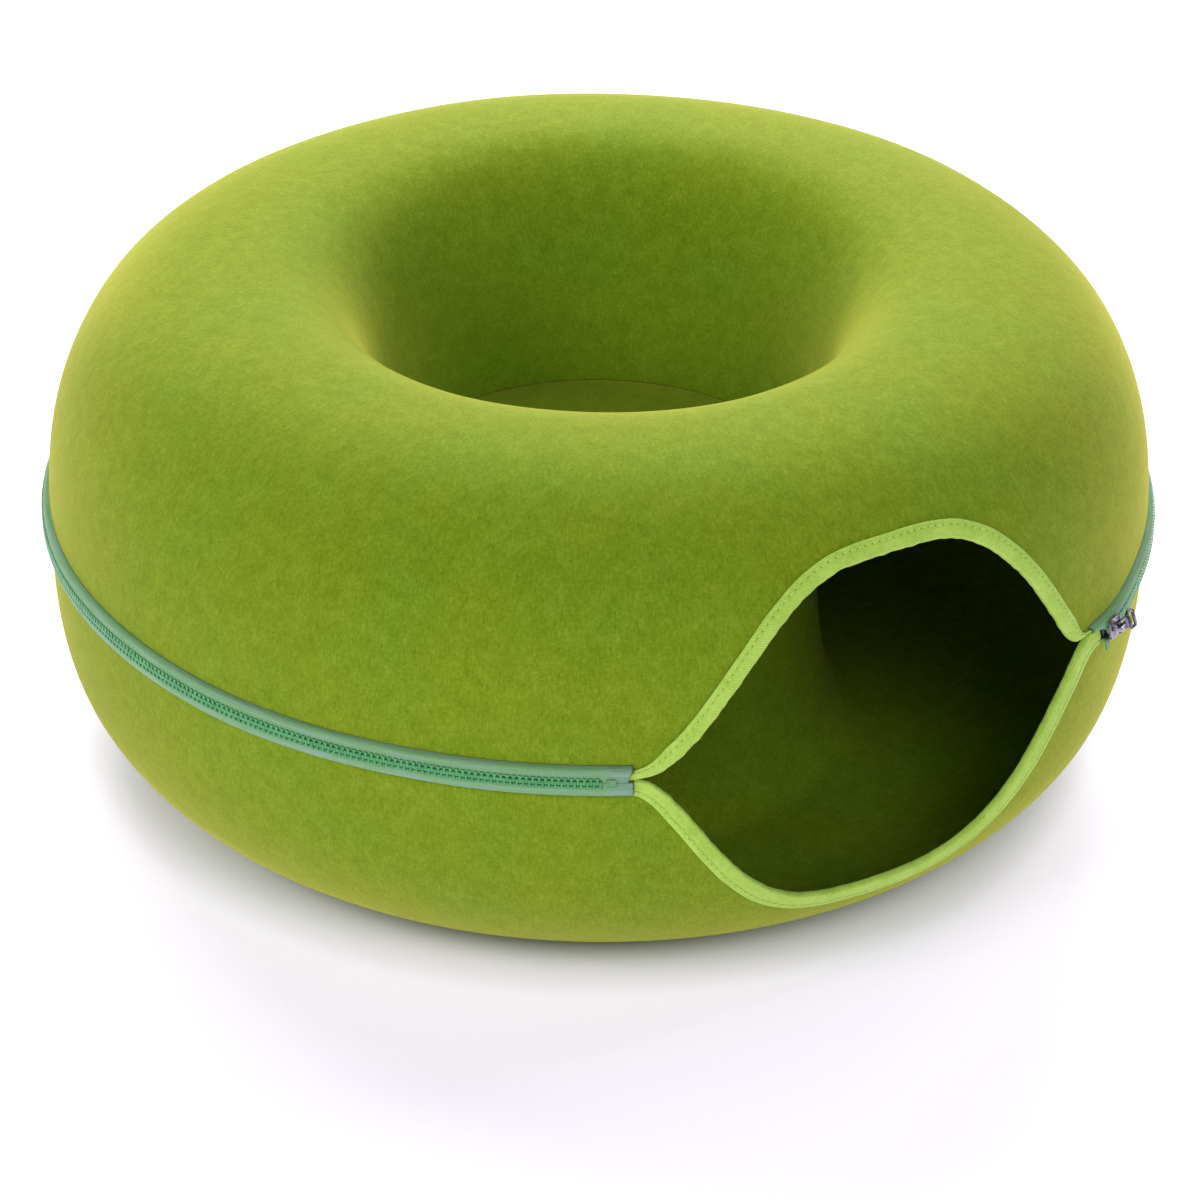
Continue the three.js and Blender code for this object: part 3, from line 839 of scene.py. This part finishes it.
def stitch_model():
    """One stitch, whose x runs along the seam and whose z points out. Its ends dip into the cloth."""
    straight = STITCH_LENGTH * 0.6
    tip = STITCH_LENGTH * 0.2
    dip = STITCH_WIDTH * 0.45
    stitch = start_box("stitch", (straight, STITCH_WIDTH, STITCH_WIDTH), (0, 0, 0))
    for way in (1, -1):
        push_face(stitch, (way, 0, 0), (way * tip, 0, -dip), (1, 0.6, 0.6))
    choose_edges(stitch, lambda middle, way: abs(way.x) > 0.5 and middle.z > 0)
    bpy.ops.mesh.bevel(offset=STITCH_WIDTH * 0.3, segments=2)
    bpy.ops.object.mode_set(mode="OBJECT")
    stitch.data.shade_smooth()
    return stitch


def tooth_model():
    """One moulded tooth of the upper row: head across the middle, neck, shoulders and foot on the tape."""
    tooth = start_box("tooth", (TOOTH_HEAD_WIDTH, TEETH_THICKNESS, TOOTH_HEAD_HEIGHT), (0, 0, -TOOTH_SINK))
    for rise, width, depth in TOOTH_STEPS:
        push_face(tooth, (0, 0, math.copysign(1, rise)), (0, 0, rise), (width, depth, 1))

    def up_the_front(middle, way):
        return middle.y < -0.4 * TEETH_THICKNESS and abs(way.y) < 0.5 and abs(way.z) > 0.3

    choose_edges(tooth, up_the_front)
    bpy.ops.mesh.bevel(offset=TOOTH_ROUNDING, segments=1)
    bpy.ops.object.mode_set(mode="OBJECT")
    return tooth


def joined_copies(name, model, places):
    """One mesh that holds a copy of a model at each place, and removes the model."""
    corners = np.array([vertex.co for vertex in model.data.vertices])
    outlines = [list(face.vertices) for face in model.data.polygons]
    points, faces = [], []
    for number, place in enumerate(places):
        turn = np.array(place)
        points.append(corners @ turn[:3, :3].T + turn[:3, 3])
        faces += [[k + number * len(corners) for k in outline] for outline in outlines]
    mesh = bpy.data.meshes.new(name)
    mesh.from_pydata(np.vstack(points).tolist(), [], faces)
    mesh.polygons.foreach_set("use_smooth", [model.data.polygons[0].use_smooth] * len(faces))
    bpy.data.objects.remove(model)
    return new_object(name, mesh)


def chain_place(turn, radius, flip):
    """Where a model whose x runs along the zip and whose -y points out stands on the chain."""
    point = on_zip(turn, CHAIN_RISE, radius)
    place = Matrix.Translation(Vector(point)) @ Matrix.Rotation(math.radians(turn), 4, "Z")
    return place @ Matrix.Rotation(math.pi if flip else 0, 4, "Y")


def teeth_row(name, side):
    """A row of teeth. Side 1 is above the zip's middle, and side -1 below it and half a pitch on."""
    pitch = math.degrees(TOOTH_PITCH / TEETH_RADIUS)
    first = RIGHT_TEETH_TURN + (0 if side > 0 else pitch / 2)
    count = int((LEFT_TEETH_TURN - first) / pitch)
    radius = TEETH_RADIUS - TEETH_THICKNESS / 2
    places = [chain_place(first + pitch * (number + 0.5), radius, side < 0) for number in range(count)]
    return joined_copies(name, tooth_model(), places)


def zip_stop_block():
    """The moulded block that ends the chain: a flat cheek across both tapes, with a dent in its face."""
    block = start_box("stop", (STOP_LENGTH, STOP_THICKNESS, STOP_HEIGHT), (0, 0, 0))
    push_face(block, (0, -1, 0), (0, -STOP_CHAMFER, 0), (STOP_FACE_SHARE, 1, STOP_FACE_SHARE))
    choose_faces(block, lambda middle, facing: facing.y < -CLOSELY)
    bpy.ops.mesh.inset(thickness=STOP_RIM, depth=-STOP_DENT)
    worn(block, STOP_WEAR)
    block.data.transform(chain_place(STOP_TURN, TEETH_RADIUS - STOP_THICKNESS / 2, False))
    return block


def slider_place():
    point = Vector(on_zip(SLIDER_TURN, CHAIN_RISE, TEETH_RADIUS))
    turn = Matrix.Rotation(math.radians(SLIDER_TURN), 4, "Z")
    return Matrix.Translation(point) @ turn @ Matrix.Rotation(SLIDER_ROLL, 4, "X")


def slider_plate(name, near, size):
    """A plate whose mouth is wide and whose tail is narrow, with soft corners and a raised rim."""
    middle_size = (SLIDER_LENGTH * PLATE_MIDDLE * size, SLIDER_PLATE, SLIDER_WIDTH * size)
    plate = start_box(name, middle_size, (0, near, 0))
    for run, width in PLATE_STEPS:
        push_face(plate, (math.copysign(1, run), 0, 0), (SLIDER_LENGTH * run, 0, 0), (1, 1, width))
    choose_edges(plate, lambda middle, way: abs(way.y) > CLOSELY)
    bpy.ops.mesh.bevel(offset=SLIDER_CORNER, segments=3)
    choose_faces(plate, lambda middle, facing: facing.y < -CLOSELY)
    bpy.ops.mesh.inset(thickness=SLIDER_RIM, depth=-SLIDER_DENT)
    bpy.ops.mesh.select_all(action="SELECT")
    bpy.ops.mesh.remove_doubles(threshold=MERGE_REACH)
    return worn(plate, SLIDER_WEAR)


def slider_bridge():
    """The arch that holds the pull: up from the plate, along the slider and down again."""
    reach = BRIDGE_LENGTH / 2
    face = -SLIDER_GAP - SLIDER_PLATE
    foot = (-reach - BRIDGE_WALL / 2, face, 0)
    arch = start_box("slider_bridge", (BRIDGE_WALL, BRIDGE_SINK, BRIDGE_WIDTH), foot)
    push_face(arch, (0, -1, 0), (0, -BRIDGE_HEIGHT, 0))
    push_face(arch, (0, -1, 0), (BRIDGE_BEND, -BRIDGE_WALL, 0), (0.7, 1, 1))

    def along_the_top(middle, facing):
        return facing.x > ROUGHLY and middle.y < face - BRIDGE_HEIGHT

    def under_far_end(middle, facing):
        return facing.y > 0.6 and middle.x > reach

    push_chosen(arch, along_the_top, (BRIDGE_LENGTH + BRIDGE_WALL * 0.3, 0, 0))
    push_chosen(arch, along_the_top, (BRIDGE_WALL * 0.8, BRIDGE_DROP, 0), (1, 0.8, 1))
    push_chosen(arch, under_far_end, (0, BRIDGE_HEIGHT, 0))
    return worn(arch, PULL_WEAR)


def slider_body():
    """Two plates, before and behind the teeth, with the neck between them and the bridge in front."""
    front = slider_plate("slider_front", -SLIDER_GAP - SLIDER_PLATE / 2, 1)
    behind = TEETH_THICKNESS + SLIDER_GAP + SLIDER_PLATE / 2
    back = slider_plate("slider_back", behind, SLIDER_BACK_SHARE)
    depth = TEETH_THICKNESS + 2 * SLIDER_GAP + SLIDER_PLATE
    neck_place = (-SLIDER_LENGTH / 2 + NECK_INSET, TEETH_THICKNESS / 2, 0)
    neck = start_box("slider_neck", (NECK_LENGTH, depth, NECK_HEIGHT), neck_place)
    push_face(neck, (1, 0, 0), (NECK_TIP, 0, 0), (1, 1, NECK_TIP_SHARE))
    body = united(front, [worn(neck, NECK_WEAR), back, slider_bridge()])
    body.name = "slider_body"
    body.data.transform(slider_place())
    return body


def slider_pull():
    """The tab: an eye round the bridge's end, a waist, and a wide end with a slot in it."""
    start = -PULL_BAR / 2
    head_end = PULL_OUTLINE[0][0]
    head_middle = ((head_end + start) / 2, 0, 0)
    tab = start_box("slider_pull", (head_end - start, PULL_THICKNESS, PULL_HEAD), head_middle)
    cut_through(tab, lambda middle: True, PULL_BAR)
    for (place, width), (following, next_width) in zip(PULL_OUTLINE[:-1], PULL_OUTLINE[1:]):
        push_face(tab, (1, 0, 0), (following - place, 0, 0), (1, 1, next_width / width))
    slot_start, slot_end = PULL_SLOT
    cut_through(tab, lambda middle: slot_start < middle.x < slot_end, PULL_RIM, (1, 1, PULL_SLOT_SHARE))

    def in_a_hole(middle, way):
        reach = PULL_END / 2 - PULL_RIM * 2 if middle.x > head_end else PULL_HEAD / 2 - PULL_BAR * 0.5
        return abs(way.y) > CLOSELY and abs(middle.z) < reach

    choose_edges(tab, in_a_hole)
    bpy.ops.mesh.bevel(offset=PULL_CORNER, segments=3)
    worn(tab, PULL_WEAR)
    axis = Matrix.Translation((0, -SLIDER_GAP - SLIDER_PLATE - PULL_STANDOFF, 0))
    lean = Matrix.Rotation(-PULL_TILT, 4, "X") @ Matrix.Rotation(-PULL_SWING, 4, "Z")
    tab.data.transform(slider_place() @ axis @ lean)
    return tab


# Finishes
class Nodes:
    """A node tree, with short calls for the nodes that the finishes and the studio are made of."""

    def __init__(self, tree):
        self.tree = tree
        self.places = self.node("TexCoord")

    def feed(self, socket, given):
        """Gives a socket a number, a colour or another node's output."""
        if isinstance(given, bpy.types.NodeSocket):
            self.tree.links.new(given, socket)
        elif socket.type == "RGBA":
            socket.default_value = (*given, 1)
        else:
            socket.default_value = given

    def node(self, kind, inputs=(), **settings):
        made = self.tree.nodes.new("ShaderNode" + kind)
        for name, value in settings.items():
            setattr(made, name, value)
        for socket, given in dict(inputs).items():
            self.feed(made.inputs[socket], given)
        return made

    def grain(self, scale, detail=2.0, roughness=0.5, stretch=None, space="Object"):
        """Noise, from 0 to 1, with this many features a metre."""
        where = self.places.outputs[space]
        if stretch:
            where = self.node("Mapping", {"Vector": where, "Scale": stretch}).outputs["Vector"]
        inputs = {"Vector": where, "Scale": scale, "Detail": detail, "Roughness": roughness}
        return self.node("TexNoise", inputs).outputs["Fac"]

    def stripes(self, pitch, angle):
        """Ribs on the UV map, from 0 to 1, this far apart and turned by this angle."""
        turn = self.node("Mapping", {"Vector": self.places.outputs["UV"], "Rotation": (0, 0, angle)})
        inputs = {"Vector": turn.outputs["Vector"], "Scale": math.pi / (10 * pitch)}
        made = self.node("TexWave", inputs, wave_type="BANDS", bands_direction="X", wave_profile="SIN")
        return made.outputs["Fac"]

    def coordinate(self, space, axis):
        return self.node("SeparateXYZ", {"Vector": self.places.outputs[space]}).outputs[axis]

    def distance_from(self, value, middle):
        """How far a value lies from a number, to either side."""
        offset = self.node("Math", {0: value, 1: middle}, operation="SUBTRACT").outputs[0]
        return self.node("Math", {0: offset}, operation="ABSOLUTE").outputs[0]

    def ramp(self, value, stops):
        """Colours or greys along a value, as (place, colour) stops."""
        made = self.node("ValToRGB", {"Fac": value})
        elements = made.color_ramp.elements
        while len(elements) < len(stops):
            elements.new(0.5)
        for element, (place, colour) in zip(elements, stops):
            element.position = place
            element.color = (*colour, 1)
        return made.outputs["Color"]

    def fade(self, value, low, high, start=0, end=1):
        """A value stretched so that it goes from start to end where it went from low to high."""
        inputs = {"Value": value, "From Min": low, "From Max": high, "To Min": start, "To Max": end}
        return self.node("MapRange", inputs, clamp=True).outputs["Result"]

    def mix(self, share, first, second, blend="MIX"):
        """Two colours or outputs mixed."""
        made = self.node("Mix", {"Factor": share}, data_type="RGBA", blend_type=blend)
        colours = [socket for socket in made.inputs if socket.type == "RGBA"]
        for socket, given in zip(colours, (first, second)):
            self.feed(socket, given)
        return [socket for socket in made.outputs if socket.type == "RGBA"][0]

    def sum(self, *weighted):
        """Values added up, each as (value, weight)."""
        total = 0
        for value, weight in weighted:
            total = self.node("Math", {0: value, 1: weight, 2: total}, operation="MULTIPLY_ADD").outputs[0]
        return total


class Finish(Nodes):
    """A material, with constant settings for its shader."""

    def __init__(self, name, **settings):
        self.material = bpy.data.materials.new(name)
        self.material.use_nodes = True
        super().__init__(self.material.node_tree)
        self.shader = self.tree.nodes["Principled BSDF"]
        for socket, value in settings.items():
            self.set(socket.replace("_", " "), value)

    def set(self, socket, given):
        self.feed(self.shader.inputs[socket], given)

    def relief(self, height, depth, strength):
        """Bumps this deep, in metres, where the height goes from 0 to 1."""
        bump = self.node("Bump", {"Height": height, "Distance": depth, "Strength": strength})
        self.set("Normal", bump.outputs["Normal"])


def felt_finish(name, nap):
    """Needle-punched felt, with this much nap."""
    finish = Finish(
        name, Roughness=0.8, Specular_IOR_Level=0.15, Specular_Tint=FELT_GLINT_COLOUR,
        Sheen_Weight=nap, Sheen_Roughness=0.45, Sheen_Tint=FELT_NAP_COLOUR,
    )
    fuzz = finish.grain(620, detail=5, roughness=0.72)
    fibres = finish.grain(1, detail=4, roughness=0.65, stretch=(900, 150, 1), space="UV")
    mottle = finish.grain(110, detail=3, roughness=0.6)
    drift = finish.grain(17, detail=2)
    blend = finish.sum((fuzz, 0.48), (fibres, 0.3), (mottle, 0.22))
    body = finish.ramp(blend, FELT_SHADES)
    cool = finish.mix(1.0, body, FELT_COOLER, "MULTIPLY")
    finish.set("Base Color", finish.mix(finish.fade(drift, 0.4, 0.72), body, cool))
    finish.relief(finish.sum((fuzz, 0.6), (fibres, 0.4), (mottle, 0.5)), depth=0.0006, strength=0.5)
    return finish.material


def binding_finish():
    """Ribbed tape with its UV map along the door's edge, and painted shade in needle holes between
    stitches.
    """
    finish = Finish(
        "binding", Roughness=0.8, Specular_IOR_Level=0.25, Sheen_Weight=0.15, Sheen_Roughness=0.4
    )
    ribs = finish.stripes(RIB_PITCH, RIB_SLANT)
    wear = finish.grain(450, detail=3)
    patches = finish.grain(70, detail=2)
    blend = finish.sum((ribs, 0.2), (wear, 0.4), (patches, 0.4))
    body = finish.ramp(blend, BINDING_SHADES)
    # Dark spots on the stitch line between the stitches: painted shade in the needle holes
    seam = loop_lengths(binding_loop())[-1] - BINDING_THICKNESS - STITCH_INSET
    across_seam = finish.fade(finish.distance_from(finish.coordinate("UV", "Y"), seam), HOLE_RADIUS, 0)
    between = finish.fade(finish.stripes(STITCH_PITCH, 0), HOLE_SHARE, 0)
    hole_shade = finish.mix(1.0, across_seam, between, "MULTIPLY")
    finish.set("Base Color", finish.mix(finish.fade(hole_shade, 0, 1.4), body, NEEDLE_HOLE_SHADE))
    finish.relief(finish.sum((ribs, 0.6), (wear, 0.4)), depth=0.0003, strength=0.45)
    return finish.material


def tape_finish():
    """Woven tape, whose UV map runs along the zip, with a clear film at the door's left corner."""
    finish = Finish("zip_tape", Specular_IOR_Level=0.3, Sheen_Weight=0.15, Sheen_Roughness=0.4)
    streaks = finish.grain(1, detail=2, stretch=(40, 1100, 1), space="UV")
    tints = finish.grain(1, detail=2, stretch=(25, 650, 1), space="UV")
    threads = finish.grain(1500, detail=2)
    blend = finish.sum((streaks, 0.5), (threads, 0.5))
    tinted = finish.mix(finish.fade(tints, 0.5, 0.68), finish.ramp(blend, TAPE_SHADES), TAPE_TINT)
    film_start = math.radians(360 + UPPER_DOOR["from"]) * FELT_RADIUS - FILM_LENGTH
    film = finish.fade(finish.coordinate("UV", "X"), film_start, film_start + FILM_FADE)
    finish.set("Base Color", finish.mix(film, tinted, finish.ramp(streaks, FILM_SHADES)))
    finish.set("Roughness", finish.ramp(film, FILM_ROUGHNESS))
    finish.relief(blend, depth=0.0002, strength=0.4)
    return finish.material


def plain_finish(name, features, shades, **settings):
    """Thread or plastic, mottled by this many features a metre."""
    finish = Finish(name, **settings)
    finish.set("Base Color", finish.ramp(finish.grain(features), shades))
    return finish.material


def metal_finish():
    finish = Finish("slider_metal", Metallic=0.95)
    wear = finish.grain(260, detail=2)
    finish.set("Base Color", finish.ramp(wear, METAL_SHADES))
    finish.set("Roughness", finish.fade(wear, -0.3, 2.4))
    return finish.material


# Floor, light and camera
def pale_floor():
    bpy.ops.object.select_all(action="DESELECT")
    bpy.ops.mesh.primitive_plane_add(size=FLOOR_SIZE, location=(0, 0, -FLOOR_DROP))
    floor = bpy.context.object
    floor.name = "floor"
    finish = Finish("pale_floor", Roughness=0.9, Specular_IOR_Level=0.05, Emission_Strength=FLOOR_GLOW)
    # Painted light: the floor glows, and the glow fades out towards the bed's foot as a painted shadow
    from_bed = finish.node("VectorMath", {0: finish.places.outputs["Object"]}, operation="LENGTH")
    glow = finish.fade(from_bed.outputs["Value"], PAINTED_SHADOW_CORE, PAINTED_SHADOW_EDGE)
    finish.set("Emission Color", finish.ramp(glow, [(0, (0, 0, 0)), (1, FLOOR_GLOW_COLOUR)]))
    finish.set("Base Color", finish.ramp(finish.grain(3), FLOOR_SHADES))
    floor.data.materials.append(finish.material)


def softbox(name, turn, elevation, power):
    """A broad lamp that faces the bed from a turn and an elevation in degrees, with its power in watts."""
    light = bpy.data.lights.new(name, "AREA")
    light.shape = "RECTANGLE"
    light.size = SOFTBOX_WIDTH
    light.size_y = SOFTBOX_HEIGHT
    light.energy = power
    height = SOFTBOX_DISTANCE * math.sin(math.radians(elevation))
    place = Vector(turned(SOFTBOX_DISTANCE * math.cos(math.radians(elevation)), ZIP_LEVEL + height, turn))
    lamp = bpy.data.objects.new(name, light)
    lamp.location = place
    lamp.rotation_euler = (Vector((0, AXIS_Y, ZIP_LEVEL)) - place).to_track_quat("-Z", "Y").to_euler()
    bpy.context.scene.collection.objects.link(lamp)


def studio():
    """Pale walls that are darker to one side, under a dark ceiling, and the softboxes."""
    world = bpy.data.worlds.new("studio")
    world.use_nodes = True
    nodes = Nodes(world.node_tree)
    height = nodes.coordinate("Generated", "Z")
    walls = nodes.ramp(height, [(WALL_TOP, (1, 1, 1)), (CEILING_START, (0, 0, 0))])
    dark_turn = math.radians(DARK_WALL_TURN)
    dark_way = (math.sin(dark_turn), -math.cos(dark_turn), 0)
    ways = {0: nodes.places.outputs["Generated"], 1: dark_way}
    towards = nodes.node("VectorMath", ways, operation="DOT_PRODUCT")
    light = nodes.fade(towards.outputs["Value"], 0, 1, WALL_LIGHT, WALL_LIGHT * DARK_WALL_SHARE)
    background = nodes.tree.nodes["Background"].inputs
    nodes.feed(background["Color"], walls)
    nodes.feed(background["Strength"], light)
    bpy.context.scene.world = world
    for name, lamp in SOFTBOXES.items():
        softbox(name, **lamp)
    bpy.context.scene.view_settings.view_transform = "Standard"


def photo_camera():
    lens = bpy.data.cameras.new("camera")
    lens.lens = CAMERA_LENS
    lens.sensor_width = CAMERA_SENSOR
    camera = bpy.data.objects.new("camera", lens)
    back = Vector((
        math.sin(CAMERA_AZIMUTH) * math.cos(CAMERA_ELEVATION),
        -math.cos(CAMERA_AZIMUTH) * math.cos(CAMERA_ELEVATION),
        math.sin(CAMERA_ELEVATION),
    ))
    right = Vector((math.cos(CAMERA_AZIMUTH), math.sin(CAMERA_AZIMUTH), 0))
    upright = back.cross(right)
    x_axis = math.cos(CAMERA_ROLL) * right + math.sin(CAMERA_ROLL) * upright
    aim = Vector((0, AXIS_Y, CAMERA_AIM_HEIGHT)) + CAMERA_SIDESTEP * right
    place = Matrix((x_axis, back.cross(x_axis), back)).transposed().to_4x4()
    place.translation = aim + CAMERA_DISTANCE * back
    camera.matrix_world = place
    bpy.context.scene.collection.objects.link(camera)
    bpy.context.scene.camera = camera


# The bed, piece by piece
def dress(piece, material, slot_name, *nodes):
    """Gives a piece its finish, hangs it under the root and hides the solids that it stands for."""
    piece.data.materials.clear()
    piece.data.materials.append(material)
    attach(piece, "root")
    if nodes:
        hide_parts(*nodes)
    return piece


def line_tunnel(shell, material):
    """Gives the faces that look into the tunnel a finish of their own."""
    shell.data.materials.append(material)
    for face in shell.data.polygons:
        away = Vector((face.center.x, face.center.y - AXIS_Y, 0))
        across = Vector((away.length - TUNNEL_RADIUS, face.center.z - ZIP_LEVEL))
        facing = Vector((face.normal.dot(away.normalized()), face.normal.z))
        face.material_index = int(facing.dot(across) < 0)


felt = felt_finish("felt", nap=0.6)
tunnel_felt = felt_finish("tunnel_felt", nap=0.1)
ribbed = binding_finish()
thread = plain_finish(
    "thread", 400, THREAD_SHADES,
    Roughness=0.6, Specular_IOR_Level=0.3, Sheen_Weight=0.2, Sheen_Roughness=0.4,
)
woven = tape_finish()
moulded = plain_finish("zip_teeth", 200, TEETH_SHADES, Roughness=0.35, Specular_IOR_Level=0.5)
pressed = plain_finish("zip_stop", 300, STOP_SHADES, Roughness=0.5, Specular_IOR_Level=0.4)
metal = metal_finish()

upper_felt = felt_shell("upper_felt", UPPER, WELL_STEPS, closed_middle=False)
lower_felt = felt_shell("lower_felt", LOWER, WELL_STEPS + FLOOR_STEPS, closed_middle=True)
dress(upper_felt, felt, "felt", "upper_shell")
dress(lower_felt, felt, "felt", "lower_shell")
for shell in (upper_felt, lower_felt):
    line_tunnel(shell, tunnel_felt)
upper_binding = dress(binding("upper_binding", UPPER), ribbed, "binding", "door_binding_upper")
lower_binding = dress(binding("lower_binding", LOWER), ribbed, "binding", "door_binding_lower")
dress(stitches("upper_stitches", UPPER), thread, "binding")
dress(stitches("lower_stitches", LOWER), thread, "binding")
upper_tape = dress(zip_tape("upper_tape", UPPER), woven, "zip_tape", "zip_tape_upper")
lower_tape = dress(zip_tape("lower_tape", LOWER), woven, "zip_tape", "zip_tape_lower")
dress(teeth_row("upper_teeth", 1), moulded, "zip_teeth", "zip_teeth_upper")
dress(teeth_row("lower_teeth", -1), moulded, "zip_teeth", "zip_teeth_lower")
dress(zip_stop_block(), pressed, "zip_teeth", "zip_stop")
dress(slider_body(), metal, "slider_metal", "zip_slider")
dress(slider_pull(), metal, "slider_metal", "zip_pull")

pale_floor()
studio()
photo_camera()
